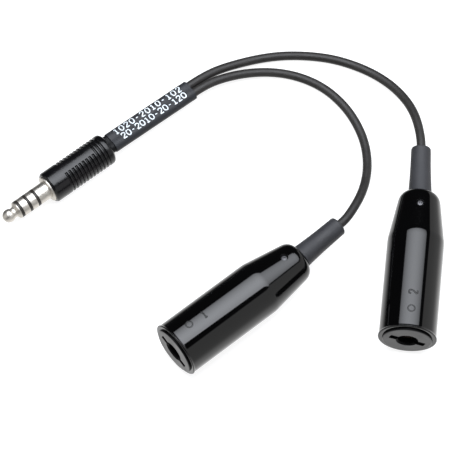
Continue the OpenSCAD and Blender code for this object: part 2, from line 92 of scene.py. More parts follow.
clear = table_nodes.new("ShaderNodeBsdfTransparent")
seen_top = table_nodes.new("ShaderNodeMixShader")
table_links.new(table_place.outputs["Object"], table_grain.inputs["Vector"])
table_links.new(table_grain.outputs["Fac"], table_tone.inputs["Value"])
table_links.new(table_tone.outputs["Result"], table_shader.inputs["Base Color"])
table_links.new(table_rays.outputs["Is Camera Ray"], seen_top.inputs["Fac"])
table_links.new(clear.outputs["BSDF"], seen_top.inputs[1])
table_links.new(table_shader.outputs["BSDF"], seen_top.inputs[2])
table_links.new(seen_top.outputs["Shader"], table_nodes["Material Output"].inputs["Surface"])
table_mesh.materials.append(table_paint)

soft_box = bpy.data.objects.new("soft_box", bpy.data.lights.new("soft_box", "AREA"))
soft_box.data.shape = "RECTANGLE"
soft_box.data.size = 0.95
soft_box.data.size_y = 0.62
soft_box.data.energy = 5.3
soft_box.data.color = (0.91, 0.94, 1.0)
soft_box.data.spread = np.radians(110)
soft_box.location = (0.116, 0.181, 0.57)
soft_box.visible_camera = False
scene.collection.objects.link(soft_box)

room = bpy.data.worlds.new("room")
room.use_nodes = True
scene.world = room
room_nodes, room_links = room.node_tree.nodes, room.node_tree.links
direction = room_nodes.new("ShaderNodeTexCoord").outputs["Generated"]


def room_part(toward, begin, end, level, fade="LINEAR"):
    """Light that rises to a level between two values of the direction along an axis."""
    along = room_nodes.new("ShaderNodeVectorMath")
    along.operation = "DOT_PRODUCT"
    along.inputs[1].default_value = Vector(toward).normalized()
    room_links.new(direction, along.inputs[0])
    rise = room_nodes.new("ShaderNodeMapRange")
    rise.interpolation_type = fade
    set_sockets(rise, {"From Min": begin, "From Max": end, "To Max": level})
    room_links.new(along.outputs["Value"], rise.inputs["Value"])
    return rise.outputs["Result"]


def room_sum(operation, *terms):
    """One arithmetic step between two or three light terms."""
    step = room_nodes.new("ShaderNodeMath")
    step.operation = operation
    for socket, term in zip(step.inputs, terms):
        if isinstance(term, float):
            socket.default_value = term
        else:
            room_links.new(term, socket)
    return step.outputs["Value"]


lit_sheet = room_part(toward=(0.0, 0.0, -1.0), begin=0.2, end=0.65, level=1.1, fade="SMOOTHSTEP")
right_wall = room_sum(
    "MULTIPLY", room_part(toward=(0.85, -0.40, -1.0), begin=-0.01, end=0.02, level=0.7),
    room_part(toward=(0.905, -0.425, 0.0), begin=0.0, end=0.15, level=1.0))
left_board = room_part(toward=(-0.95, -0.30, 0.25), begin=0.74, end=0.92, level=0.85)
wall_and_sheet = room_sum("MAXIMUM", lit_sheet,
                          room_sum("MULTIPLY_ADD", lit_sheet, 0.6, right_wall))
dim_room = 0.02
room_light = room_sum("ADD", room_sum("MAXIMUM", wall_and_sheet, left_board), dim_room)
rays = room_nodes.new("ShaderNodeLightPath")
seen = room_nodes.new("ShaderNodeMix")
seen.inputs["B"].default_value = 1.0
room_links.new(rays.outputs["Is Camera Ray"], seen.inputs["Factor"])
room_links.new(room_light, seen.inputs["A"])
room_links.new(seen.outputs["Result"], room_nodes["Background"].inputs["Strength"])
set_sockets(room_nodes["Background"], {"Color": (1.0, 1.0, 1.0, 1.0)})

# ---- Free cords ----
# Two thin round cords with a soft PVC jacket. They leave the label sleeve side by side, come
# down on the table in one wide bend each, and rise into the strain reliefs of the two jacks.
cord_r = 1.75
cord_colour = (0.019, 0.0178, 0.0168)


def heading(turn, dip=0.0):
    """Unit vector at an angle from +X, sloping down by the dip."""
    t, d = np.radians(turn), np.radians(dip)
    return np.array([np.cos(t) * np.cos(d), np.sin(t) * np.cos(d), -np.sin(d)])


def left_of(turn):
    """Level unit vector at a right angle to a heading, on its left."""
    return np.array([-np.sin(np.radians(turn)), np.cos(np.radians(turn)), 0.0])


def lay(points, place):
    """Points (up, right, along) go to place + x * up + y * right + z * along, in millimetres."""
    origin, turn, dip = place
    along, left = heading(turn, dip), left_of(turn)
    return np.asarray(origin) + points @ np.array([np.cross(along, left), -left, along])


def spline(points, steps):
    """Uniform cubic B-spline. A mirrored point before the first and after the last makes it start
    and end on them, and each joint lies at (P0 + 4 P1 + P2) / 6 of its three neighbours."""
    p = np.concatenate([2 * points[:1] - points[1:2], points, 2 * points[-1:] - points[-2:-1]])
    t = np.linspace(0, 1, steps, endpoint=False)[:, None]
    weights = np.concatenate(
        [(1 - t) ** 3, 3 * t**3 - 6 * t**2 + 4, -3 * t**3 + 3 * t**2 + 3 * t + 1, t**3], 1) / 6
    windows = np.stack([p[:-3], p[1:-2], p[2:-1], p[3:]])
    return np.concatenate([np.einsum("sk,kwd->wsd", weights, windows).reshape(-1, points.shape[1]),
                           points[-1:]])


def skin(name, *blocks, keep=None):
    """Mesh over blocks of rings, given in millimetres. A block is an array (rings, points, 3): the
    points of a ring join round, and each ring joins the next. A ring shrunk to a point is a pole,
    and blocks that share a ring grow together, when points within 2 micrometres are merged. keep
    is a mask of the first block's cells, for a window in it. Edges over 38 degrees stay sharp."""
    corners, cells, start = [], [], 0
    for number, block in enumerate(blocks):
        rings, points = block.shape[:2]
        i, k = np.arange(rings - 1)[:, None] * points, np.arange(points)[None, :]
        after = (k + 1) % points
        quads = start + np.stack([i + k, i + after, i + points + after, i + points + k], -1)
        cells.append(quads[keep] if keep is not None and number == 0 else quads.reshape(-1, 4))
        corners.append(block.reshape(-1, 3) * mm)
        start += rings * points
    mesh = bpy.data.meshes.new(name)
    mesh.from_pydata(np.concatenate(corners).tolist(), [], np.concatenate(cells).tolist())
    work = bmesh.new()
    work.from_mesh(mesh)
    bmesh.ops.remove_doubles(work, verts=work.verts, dist=2e-6)
    bmesh.ops.recalc_face_normals(work, faces=work.faces)
    work.to_mesh(mesh)
    work.free()
    mesh.shade_smooth()
    mesh.set_sharp_from_angle(angle=np.radians(38))
    return mesh


def piece(name, mesh, material, body, slot, *stands_for):
    """Puts a finished mesh in the scene, on its body and in place of its CAD nodes."""
    thing = bpy.data.objects.new(name, mesh)
    mesh.materials.append(material)
    scene.collection.objects.link(thing)
    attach(thing, body)
    if stands_for:
        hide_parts(*stands_for)
    return thing


def grain_group(name, *amounts):
    """New node group that takes a colour and the named amounts, and gives a colour, a roughness
    and a normal. Returned with its input and output nodes."""
    group = bpy.data.node_groups.new(name, "ShaderNodeTree")
    add = group.interface.new_socket
    add("Colour", in_out="INPUT", socket_type="NodeSocketColor")
    for amount in amounts:
        add(amount, in_out="INPUT", socket_type="NodeSocketFloat")
    add("Colour", in_out="OUTPUT", socket_type="NodeSocketColor")
    add("Roughness", in_out="OUTPUT", socket_type="NodeSocketFloat")
    add("Normal", in_out="OUTPUT", socket_type="NodeSocketVector")
    return group, group.nodes.new("NodeGroupInput"), group.nodes.new("NodeGroupOutput")


def moulded_grain():
    """Node group of a moulded or drawn surface. Fine noise on Object coordinates gives a bump.
    Noise ten times as coarse moves the roughness between two values, and the colour's brightness
    up and down by the mottle."""
    group, given, result = grain_group(
        "moulded_grain", "Grains per metre", "Bump", "Roughness low", "Roughness high", "Mottle")
    make, link = group.nodes.new, group.links.new
    place = make("ShaderNodeTexCoord")
    fine, coarse = make("ShaderNodeTexNoise"), make("ShaderNodeTexNoise")
    tenth = make("ShaderNodeMath")
    tenth.operation = "MULTIPLY"
    tenth.inputs[1].default_value = 0.1
    bump, rough = make("ShaderNodeBump"), make("ShaderNodeMapRange")
    tint, tone = make("ShaderNodeHueSaturation"), make("ShaderNodeMapRange")
    set_sockets(bump, {"Distance": 0.0001})
    set_sockets(rough, {"From Min": 0.35, "From Max": 0.65})
    set_sockets(tone, {"From Min": 0.3, "From Max": 0.7})
    low, high = make("ShaderNodeMath"), make("ShaderNodeMath")
    low.operation, high.operation = "SUBTRACT", "ADD"
    low.inputs[0].default_value = high.inputs[0].default_value = 1.0
    link(place.outputs["Object"], fine.inputs["Vector"])
    link(place.outputs["Object"], coarse.inputs["Vector"])
    link(given.outputs["Grains per metre"], fine.inputs["Scale"])
    link(given.outputs["Grains per metre"], tenth.inputs[0])
    link(tenth.outputs[0], coarse.inputs["Scale"])
    link(fine.outputs["Fac"], bump.inputs["Height"])
    link(given.outputs["Bump"], bump.inputs["Strength"])
    link(coarse.outputs["Fac"], rough.inputs["Value"])
    link(given.outputs["Roughness low"], rough.inputs["To Min"])
    link(given.outputs["Roughness high"], rough.inputs["To Max"])
    link(given.outputs["Mottle"], low.inputs[1])
    link(given.outputs["Mottle"], high.inputs[1])
    link(coarse.outputs["Fac"], tone.inputs["Value"])
    link(low.outputs[0], tone.inputs["To Min"])
    link(high.outputs[0], tone.inputs["To Max"])
    link(given.outputs["Colour"], tint.inputs["Color"])
    link(tone.outputs["Result"], tint.inputs["Value"])
    link(tint.outputs["Color"], result.inputs["Colour"])
    link(rough.outputs["Result"], result.inputs["Roughness"])
    link(bump.outputs["Normal"], result.inputs["Normal"])
    return group


def finished(name, group, colour, amounts, fixed):
    """Material with a grain group's colour, roughness and normal: amounts are the group's own
    numbers in their order, and fixed are the shader's other values, by socket name."""
    material = bpy.data.materials.new(name)
    material.use_nodes = True
    shader = material.node_tree.nodes["Principled BSDF"]
    surface = material.node_tree.nodes.new("ShaderNodeGroup")
    surface.node_tree = group
    for socket, value in zip(surface.inputs, ((*colour, 1.0), *amounts)):
        socket.default_value = value
    set_sockets(shader, {socket.replace("_", " "): value for socket, value in fixed.items()})
    for output, socket in (("Colour", "Base Color"), ("Roughness", "Roughness"),
                           ("Normal", "Normal")):
        material.node_tree.links.new(surface.outputs[output], shader.inputs[socket])
    return material


grain = moulded_grain()


def moulded(name, colour, grains, bump, roughness, mottle=0.1, **fixed):
    """Material of a moulded, drawn or cast piece."""
    return finished(name, grain, colour, (grains, bump, *roughness, mottle), fixed)


def swept(line, radius, count=24):
    """Rings of a round cord along a line in millimetres: centre + r (cos a * side + sin a * up),
    with side level and at a right angle to the line. The ends close on the line itself."""
    along = np.gradient(line, axis=0)
    side = np.cross(along, [0.0, 0.0, 1.0])
    side /= np.linalg.norm(side, axis=1, keepdims=True)
    up = np.cross(side, along)
    up /= np.linalg.norm(up, axis=1, keepdims=True)
    a = np.arange(count) * 2 * np.pi / count
    rings = line[:, None] + radius * (np.cos(a)[None, :, None] * side[:, None]
                                      + np.sin(a)[None, :, None] * up[:, None])
    near, far = np.repeat(line[:1, None], count, 1), np.repeat(line[-1:, None], count, 1)
    return np.concatenate([near, rings, far])


# The cords run from the sleeves to the jacks, so the places of both stand here. A place is an
# origin, a turn from +X and a dip below the level.
plug_turn, handle_r, handle_len = 38.5, 6.4, 29.0
plug_place = ((-66.36, 16.0, handle_r), plug_turn, 0.0)
sleeve_turn, sleeve_dip, sleeve_left, sleeve_end = 38.4, 1.8, 0.65, 41.0
sleeve_origin = (np.array(plug_place[0]) + handle_len * heading(plug_turn)
                 + sleeve_left * left_of(plug_turn))
sleeve_place = (sleeve_origin, sleeve_turn, sleeve_dip)
sleeve_dir = heading(sleeve_turn, sleeve_dip)
lip_r, barrel_r, taper_at, shell_len = 11.1, 10.8, 41.3, 61.4
jack_dip = np.degrees(np.arctan((lip_r - barrel_r) / taper_at))
jack_places = {"a": ((-17.5, -54.8, lip_r), 39.4, jack_dip),
               "b": ((69.65, -50.3, lip_r), 83.9, jack_dip)}
relief_len, relief_lean = 20.3, {"a": 3.5, "b": 3.2}
relief_dir = {j: heading(jack_places[j][1] + relief_lean[j], jack_dip) for j in "ab"}
cord_side = 1.76
cord_start = {j: sleeve_origin + sleeve_end * sleeve_dir + side * cord_side * left_of(sleeve_turn)
              for j, side in (("a", -1), ("b", 1))}
cord_end = {j: np.array(jack_places[j][0]) + shell_len * heading(*jack_places[j][1:])
            + relief_len * relief_dir[j] for j in "ab"}
cord_route = {
    "a": [cord_start["a"] * mm, (cord_start["a"] + 3 * sleeve_dir) * mm,
          (-0.004, 0.0635, 0.005), (0.002, 0.0662, 0.0043), (0.0085, 0.0683, 0.0034),
          (0.015, 0.0695, 0.0026), (0.022, 0.0697, 0.002), (0.029, 0.0684, 0.0018),
          (0.0355, 0.0658, 0.0018), (0.0415, 0.062, 0.0018), (0.0465, 0.057, 0.0018),
          (0.0506, 0.0515, 0.0018), (0.0538, 0.0451, 0.0018), (0.0559, 0.0386, 0.0021),
          (0.0568, 0.0315, 0.0029), (0.0566, 0.0245, 0.0044), (0.0555, 0.018, 0.0065),
          (0.0537, 0.0119, 0.0085), (0.0508, 0.0058, 0.0098),
          (cord_end["a"] + 4 * relief_dir["a"]) * mm, cord_end["a"] * mm],
    "b": [cord_start["b"] * mm, (cord_start["b"] + 4 * sleeve_dir) * mm,
          (-0.004, 0.068, 0.0047), (0.002, 0.071, 0.0039), (0.0085, 0.0736, 0.003),
          (0.015, 0.0757, 0.0023), (0.022, 0.0771, 0.0019), (0.029, 0.0775, 0.0018),
          (0.036, 0.0771, 0.0018), (0.043, 0.0761, 0.0018), (0.0494, 0.0742, 0.0018),
          (0.056, 0.0714, 0.0019), (0.062, 0.0676, 0.0024), (0.067, 0.063, 0.0034),
          (0.071, 0.0575, 0.005), (0.074, 0.0515, 0.0071), (0.076, 0.045, 0.0089),
          (0.077, 0.0385, 0.01), (cord_end["b"] + 3 * relief_dir["b"]) * mm, cord_end["b"] * mm],
}
jacket = moulded("cord_jacket", cord_colour, 2500.0, 0.25, (0.42, 0.52), Specular_IOR_Level=0.3)


def refinish(name, material):
    """Gives a CAD node that stays in the scene its material."""
    cad[name].data.materials.clear()
    cad[name].data.materials.append(material)


for j in "ab":
    line = spline(np.array(cord_route[j]), steps=12)
    cord = piece(f"free_cord_{j}", skin(f"free_cord_{j}", swept(line / mm, cord_r)), jacket,
                 "adapter_cord", "cord_grey", f"cord_{j}")
    refinish(f"cord_{j}_root", jacket)
    refinish(f"jack_{j}_cord_end", jacket)

# ---- Plug contacts ----
# Four nickel-plated brass contacts on one finger, kept apart by three black insulating collars:
# the ball tip on its rod, two rings, and the sleeve contact whose flange meets the handle. Each
# is turned, and each but the tip is a tube that runs back into the handle inside the next one.
finger_r = 3.565
ball_r, ball_s, tip_neck_r, cone_start, cone_end = 2.6, -18.8, 2.05, -16.15, -15.05
collar_half = 0.6
front_collar_s, middle_collar_s, rear_collar_s = -14.15, -10.3, -6.45
tip_rod_r, tip_rod_back = 0.8, 11.0
tube_bore_r, tube_wall, tube_step = 0.83, 0.42, 0.45
tube_back = {"plug_front_collar": 9.0, "plug_front_ring": 7.5, "plug_middle_collar": 6.5,
             "plug_rear_ring": 5.5, "plug_rear_collar": 4.5}
sleeve_bore_r, sleeve_tube_r, sleeve_tube_back = 3.08, 5.15, 6.0
flange_r, flange_t, flange_cut = 5.3, 0.7, 0.25
nickel_colour, collar_colour = (0.61, 0.58, 0.53), (0.022, 0.019, 0.016)


def soften(outline, cut, steps=5, closed=True):
    """Rounds the corners of an outline of (radius, station) points. A corner C becomes the curve
    (1-t)^2 A + 2t(1-t) C + t^2 B, with A and B on its two sides at the distance cut, or at 0.42
    of a side that is short. One more point beyond each keeps the flat parts flat when shaded."""
    c = np.array(outline, float)
    before, after = np.roll(c, 1, 0) - c, np.roll(c, -1, 0) - c
    a_len, b_len = (np.linalg.norm(v, axis=1, keepdims=True) for v in (before, after))
    cut = np.broadcast_to(np.reshape(cut, (-1, 1)), a_len.shape)
    a = before / a_len * np.minimum(cut, 0.42 * a_len)
    b = after / b_len * np.minimum(cut, 0.42 * b_len)
    t = np.linspace(0, 1, steps)[:, None, None]
    curve = c + (1 - t) ** 2 * a + t**2 * b
    corners = np.concatenate([[c + 1.15 * a], curve, [c + 1.15 * b]]).transpose(1, 0, 2)
    if closed:
        points = corners.reshape(-1, 2)
        return np.concatenate([points, points[:1]])
    return np.concatenate([c[:1], corners[1:-1].reshape(-1, 2), c[-1:]])


def turned(outline, count=96):
    """Rings (up, right, along) of a turned part: (r cos a, r sin a, s) for each (r, s) point."""
    a = np.arange(count) * 2 * np.pi / count
    r, s = outline[:, :1], outline[:, 1:]
    return np.stack([r * np.cos(a), r * np.sin(a), s + 0 * a], -1)


def station(place):
    """How far along a part's own axis a point lies, in millimetres."""
    return lambda points: (points - np.asarray(place[0])) @ heading(*place[1:])


def measure(mesh, name, value):
    """Keeps one number for each vertex, value(its place in millimetres), for a material to read."""
    places = np.zeros(len(mesh.vertices) * 3, np.float32)
    mesh.vertices.foreach_get("co", places)
    numbers = value(places.reshape(-1, 3) / mm)
    layer = mesh.attributes.new(name, "FLOAT", "POINT")
    layer.data.foreach_set("value", numbers.astype(np.float32))


def turning_lines():
    """Node group of a turned surface. Noise of the station along the axis alone makes rings: a
    fine bump and a roughness between two values. A second noise all over makes small smudges."""
    group, given, result = grain_group(
        "turning_lines", "Lines per millimetre", "Bump", "Roughness low", "Roughness high")
    make, link = group.nodes.new, group.links.new
    along, place = make("ShaderNodeAttribute"), make("ShaderNodeTexCoord")
    along.attribute_name = "station"
    lines, smudges = make("ShaderNodeTexNoise"), make("ShaderNodeTexNoise")
    lines.noise_dimensions = "1D"
    both = make("ShaderNodeMath")
    both.operation = "MULTIPLY"
    bump, rough = make("ShaderNodeBump"), make("ShaderNodeMapRange")
    tint, tone = make("ShaderNodeHueSaturation"), make("ShaderNodeMapRange")
    set_sockets(smudges, {"Scale": 420.0})
    set_sockets(bump, {"Distance": 0.00002})
    set_sockets(rough, {"From Min": 0.15, "From Max": 0.38})
    set_sockets(tone, {"From Min": 0.3, "From Max": 0.7, "To Min": 0.9, "To Max": 1.04})
    link(along.outputs["Fac"], lines.inputs["W"])
    link(given.outputs["Lines per millimetre"], lines.inputs["Scale"])
    link(lines.outputs["Fac"], bump.inputs["Height"])
    link(given.outputs["Bump"], bump.inputs["Strength"])
    link(place.outputs["Object"], smudges.inputs["Vector"])
    link(lines.outputs["Fac"], both.inputs[0])
    link(smudges.outputs["Fac"], both.inputs[1])
    link(both.outputs[0], rough.inputs["Value"])
    link(given.outputs["Roughness low"], rough.inputs["To Min"])
    link(given.outputs["Roughness high"], rough.inputs["To Max"])
    link(smudges.outputs["Fac"], tone.inputs["Value"])
    link(given.outputs["Colour"], tint.inputs["Color"])
    link(tone.outputs["Result"], tint.inputs["Value"])
    link(tint.outputs["Color"], result.inputs["Colour"])
    link(rough.outputs["Result"], result.inputs["Roughness"])
    link(bump.outputs["Normal"], result.inputs["Normal"])
    return group


lathe_marks = turning_lines()


def lathed(name, colour, lines, bump, roughness, **fixed):
    """Material of a turned piece that keeps its station."""
    return finished(name, lathe_marks, colour, (lines, bump, *roughness), fixed)


def ring_outline(bore_r, start, end, back):
    """Outline of a ring or collar: a band of the finger's radius, and its tube running back."""
    return [(bore_r, start), (finger_r, start), (finger_r, end),
            (bore_r + tube_wall, end), (bore_r + tube_wall, back), (bore_r, back)]


def tip_outline():
    """Outline of the tip: its ball, as an arc up to the neck, then the neck, the cone that widens
    to the finger, and the rod."""
    angle = np.linspace(0, np.pi - np.arcsin(tip_neck_r / ball_r), 20)
    ball = np.stack([ball_r * np.sin(angle), ball_s - ball_r * np.cos(angle)], 1)
    tip_end = front_collar_s - collar_half
    behind = soften(
        [ball[-1], (tip_neck_r, ball[-1, 1] + 0.4), (tip_neck_r, cone_start),
         (finger_r - 0.12, cone_end - 0.2), (finger_r, cone_end), (finger_r, tip_end),
         (tip_rod_r, tip_end), (tip_rod_r, tip_rod_back), (0.0, tip_rod_back)], 0.18, closed=False)
    return np.concatenate([ball, behind[1:]])


nickel = lathed("nickel_plate", nickel_colour, 7.0, 0.25, (0.38, 0.46), Metallic=1.0)
collar_black = lathed("collar_black", collar_colour, 5.0, 0.2, (0.35, 0.5), Specular_IOR_Level=0.3)
collar_edges = [s + side * collar_half
                for s in (front_collar_s, middle_collar_s, rear_collar_s) for side in (-1, 1)]
contact_outlines = {
    name: soften(ring_outline(tube_bore_r + i * tube_step, *collar_edges[i:i + 2], back), 0.07)
    for i, (name, back) in enumerate(tube_back.items())}
contact_outlines["plug_sleeve_contact"] = soften(
    [(sleeve_bore_r, collar_edges[-1]), (finger_r, collar_edges[-1]), (finger_r, -flange_t),
     (flange_r - flange_cut, -flange_t), (flange_r, flange_cut - flange_t), (flange_r, 0.0),
     (sleeve_tube_r, 0.0), (sleeve_tube_r, sleeve_tube_back), (sleeve_bore_r, sleeve_tube_back)],
    0.07)
contact_outlines["plug_tip"] = tip_outline()
for name, outline in contact_outlines.items():
    mesh = skin(name + "_turned", lay(turned(outline), plug_place))
    measure(mesh, "station", station(plug_place))
    black = "collar" in name
    piece(name + "_turned", mesh, collar_black if black else nickel, "adapter_cord",
          "collar_black" if black else "nickel_plate", name)

# ---- Plug handle ----
# Black moulded handle with a smooth band in front, twelve grip grooves, and a bare panel on top
# that fills nine of them. It screws over the barrel of the sleeve contact, and its rounded rear
# end has an oval hole for the two cords.
handle_bore_r, front_cut_r, front_cut_len = 5.2, 0.5, 0.7
handle_smooth, groove_count, groove_pitch, groove_depth = 7.2, 12, 1.61, 0.6
groove_corners = (0.0, 0.18, 0.42, 0.6)
panel_w, panel_turn, panel_end = 5.1, 8.5, handle_smooth + 8.8 * groove_pitch
rear_round_r, rear_round_len = 3.2, 1.8
hole_h, hole_cut, bore_back = 5.9, 0.25, handle_len - 2.2
handle_points = 144
handle_colour = (0.003, 0.003, 0.0035)


def oval_ring(height, count, s):
    """Ring of (up, right, along) points round both cords, at even steps from the top: two half
    circles of that height, cord_side to the right and left, and the straight lines between."""
    arc = np.linspace(0, np.pi, 361)
    up, right = height / 2 * np.cos(arc), cord_side + height / 2 * np.sin(arc)
    up = np.concatenate([[height / 2], up, [-height / 2], -up, [height / 2]])
    right = np.concatenate([[0.0], right, [0.0], -right, [0.0]])
    length = np.concatenate([[0], np.cumsum(np.hypot(np.diff(up), np.diff(right)))])
    even = np.arange(count) / count * length[-1]
    return np.stack([np.interp(even, length, up), np.interp(even, length, right),
                     np.full(count, float(s))], -1)


def handle_outside():
    """Rings of the handle's round outside, (r cos a, r sin a, s), with its grooves: the corners of
    each are shares of the pitch. Points within half the panel's width of its middle keep the
    full radius."""
    groove_s = handle_smooth + groove_pitch * np.arange(groove_count)[:, None]
    grooves = np.stack([
        np.broadcast_to(handle_r - groove_depth * np.array([0, 1, 1, 0]), (groove_count, 4)),
        groove_s + groove_pitch * np.array(groove_corners)], -1).reshape(-1, 2)
    outline = soften(
        [(handle_bore_r, 0.0), (handle_r - front_cut_r, 0.0), (handle_r, front_cut_len), *grooves,
         (handle_r, handle_len - rear_round_len)], 0.16, steps=4, closed=False)
    r, s = outline[:, :1], outline[:, 1:]
    a = np.arange(handle_points) * 2 * np.pi / handle_points
    across = handle_r * np.sin(a + np.radians(panel_turn))
    panel = ((np.abs(across) < panel_w / 2) & (np.cos(a) > 0)
             & (s > handle_smooth - 0.3) & (s < panel_end))
    r = np.where(panel, handle_r, r)
    return np.stack([r * np.cos(a), r * np.sin(a), s + 0 * a], -1)


def handle_rear():
    """Rings of the rear end and the hole. Each ring is w of the way from the outside circle to
    the oval hole, and at a radius q it lies at handle_len - rear_round_len (1 - sqrt(1 - c^2)),
    where c = 1 - (handle_r - q) / rear_round_r."""
    a = np.arange(handle_points) * 2 * np.pi / handle_points
    circle = handle_r * np.stack([np.cos(a), np.sin(a)], -1)
    w = np.linspace(0, 1, 14)[1:, None, None]
    flat = (1 - w) * circle + w * oval_ring(hole_h, handle_points, 0.0)[None, :, :2]
    c = np.clip(1 - (handle_r - np.linalg.norm(flat, axis=-1)) / rear_round_r, 0, 1)
    s = handle_len - rear_round_len * (1 - np.sqrt(1 - c**2))
    cap = np.concatenate([flat, s[..., None]], -1)
    return np.concatenate([cap, cap[-1:] - (0, 0, hole_cut),
                           oval_ring(hole_h, handle_points, bore_back)[None]])


handle_bore = turned(np.array([(handle_bore_r, bore_back), (handle_bore_r, 0.0)]), handle_points)
handle_rings = np.concatenate([handle_outside(), handle_rear(), handle_bore])
handle_plastic = moulded("handle_black", handle_colour, 1500.0, 0.3, (0.17, 0.25),
                         Specular_IOR_Level=0.37)
handle_mesh = skin("plug_grip", lay(handle_rings, plug_place))
piece("plug_grip", handle_mesh, handle_plastic, "adapter_cord", "handle_black", "plug_handle")

# ---- Neck and label sleeves ----
# Two heat-shrunk sleeves hold both cords together: a short thin one that runs into the handle,
# and the long grey label sleeve. Between the cords their skin sinks in a little.
neck_h, neck_start, neck_end, neck_sag = 4.3, -5.6, 1.8, 0.12
label_h, label_sag = 5.0, 0.14
sleeve_t, rim_round = 0.5, 0.12
sleeve_colour, neck_colour = (0.0192, 0.0204, 0.0235), (0.003, 0.003, 0.0035)


def sleeve_rings(height, start, end, sag, count=96):
    """Rings of an oval sleeve round both cords: outside, rounded rim, and inside, closed up. Each
    point between the two cords is sunk by sag * cos^2 of its distance from the middle."""
    outside = [(0.0, s) for s in np.linspace(start + rim_round, end - rim_round, 24)]
    outline = [(-sleeve_t, start), (-rim_round, start), *outside, (-rim_round, end),
               (-sleeve_t, end), (-sleeve_t, start)]
    rings = np.stack([oval_ring(height + 2 * grown, count, s) for grown, s in outline])
    between = np.cos(np.clip(rings[..., 1] / cord_side, -1, 1) * np.pi / 2) ** 2
    rings[..., 0] -= np.sign(rings[..., 0]) * sag * between
    return lay(rings, sleeve_place)


sleeve_skin = moulded("sleeve_grey", sleeve_colour, 1800.0, 0.3, (0.42, 0.55),
                      Specular_IOR_Level=0.25)
neck_skin = moulded("neck_black", neck_colour, 1800.0, 0.3, (0.45, 0.55), Specular_IOR_Level=0.15)
piece("neck_wrap", skin("neck_wrap", sleeve_rings(neck_h, neck_start, neck_end, neck_sag)),
      neck_skin, "adapter_cord", "sleeve_grey", "neck_sleeve")
piece("label_wrap", skin("label_wrap", sleeve_rings(label_h, neck_end, sleeve_end, label_sag)),
      sleeve_skin, "adapter_cord", "sleeve_grey", "label_sleeve")

# ---- Print on the label sleeve ----
# Two lines of plain white numbers, as on a cord marker. Each stroke is a thin film of ink that
# follows the sleeve's skin.
print_colour = (0.60, 0.65, 0.68)
digit_size = (3.0, 2.4)
ink_half, ink_t = 0.23, 0.03
digit_strokes = {
    "0": [[(0.3, 1.02), (0.08, 0.94), (0.0, 0.5), (0.08, 0.06), (0.3, -0.02), (0.52, 0.06),
           (0.6, 0.5), (0.52, 0.94), (0.3, 1.02)]],
    "1": [[(0.1, 0.78), (0.22, 0.88), (0.3, 1.0)], [(0.3, 1.0), (0.3, 0.0)],
          [(0.08, 0.0), (0.52, 0.0)]],
    "2": [[(0.04, 0.72), (0.08, 0.98), (0.3, 1.04), (0.56, 0.95), (0.54, 0.62), (0.3, 0.35),
           (0.04, 0.02)], [(0.04, 0.0), (0.56, 0.0)]],
    "-": [[(0.12, 0.46), (0.44, 0.46)]],
}


def pen_rings(stroke, half, height, surface):
    """Rings of one pen stroke: a low bead of that half width and height along a smooth line, with
    half width sqrt(h^2 - (h - x)^2) at the distance x from a round end, laid on a surface."""
    line = spline(np.array(stroke, float), steps=8)
    run = np.concatenate([[0], np.cumsum(np.linalg.norm(np.diff(line, axis=0), axis=1))])
    at = np.concatenate([half * (1 - np.cos(np.linspace(0, np.pi / 2, 5))),
                         np.linspace(half, run[-1] - half, max(4, int(run[-1] / 0.12))),
                         run[-1] - half * (1 - np.cos(np.linspace(np.pi / 2, 0, 5)))])
    at = np.unique(np.round(at, 6))
    path = np.stack([np.interp(at, run, line[:, 0]), np.interp(at, run, line[:, 1])], 1)
    along = np.gradient(path, axis=0)
    along /= np.linalg.norm(along, axis=1, keepdims=True)
    side = np.stack([-along[:, 1], along[:, 0]], 1)
    short = np.clip(half - np.minimum(at, run[-1] - at), 0, half)
    width = np.sqrt(np.maximum(half**2 - short**2, 0))
    off = np.array([-1.0, -0.7, 0.0, 0.7, 1.0, 0.0])
    lift = np.array([0.0, 0.8, 1.0, 0.8, 0.0, 0.0]) * height
    flat = path[:, None] + side[:, None] * (off * width[:, None])[..., None]
    return surface(flat[..., 0], flat[..., 1], np.broadcast_to(lift, flat.shape[:2]))


def written(text, start, foot, step, size, half, height, surface):
    """Blocks of rings for a line of digits that starts at start, with its foot at foot."""
    return [pen_rings(np.array(stroke) * size + (start + step * place, foot), half, height, surface)
            for place, sign in enumerate(text) for stroke in digit_strokes[sign]]


def on_label(along, across, lift):
    """Point over the label sleeve: along its axis, and across its top to the left by arc length."""
    beyond = np.sign(across) * np.maximum(np.abs(across) - cord_side, 0) / (label_h / 2)
    flat = np.clip(across, -cord_side, cord_side)
    r = label_h / 2 + lift
    sink = label_sag * np.cos(flat / cord_side * np.pi / 2) ** 2
    return lay(np.stack([r * np.cos(beyond) - sink, -flat - r * np.sin(beyond), along], -1),
               sleeve_place)


ink = moulded("white_ink", print_colour, 3000.0, 0.15, (0.5, 0.6), mottle=0.14)
label_lines = [
    block for text, start, foot, step in (("1020-2010-102", 5.0, 0.8, 2.55),
                                          ("20-2010-20-120", 6.4, -2.5, 2.25))
    for block in written(text, start, foot, step, digit_size, ink_half, ink_t, on_label)]
piece("label_numbers", skin("label_numbers", *label_lines), ink, "adapter_cord", None)

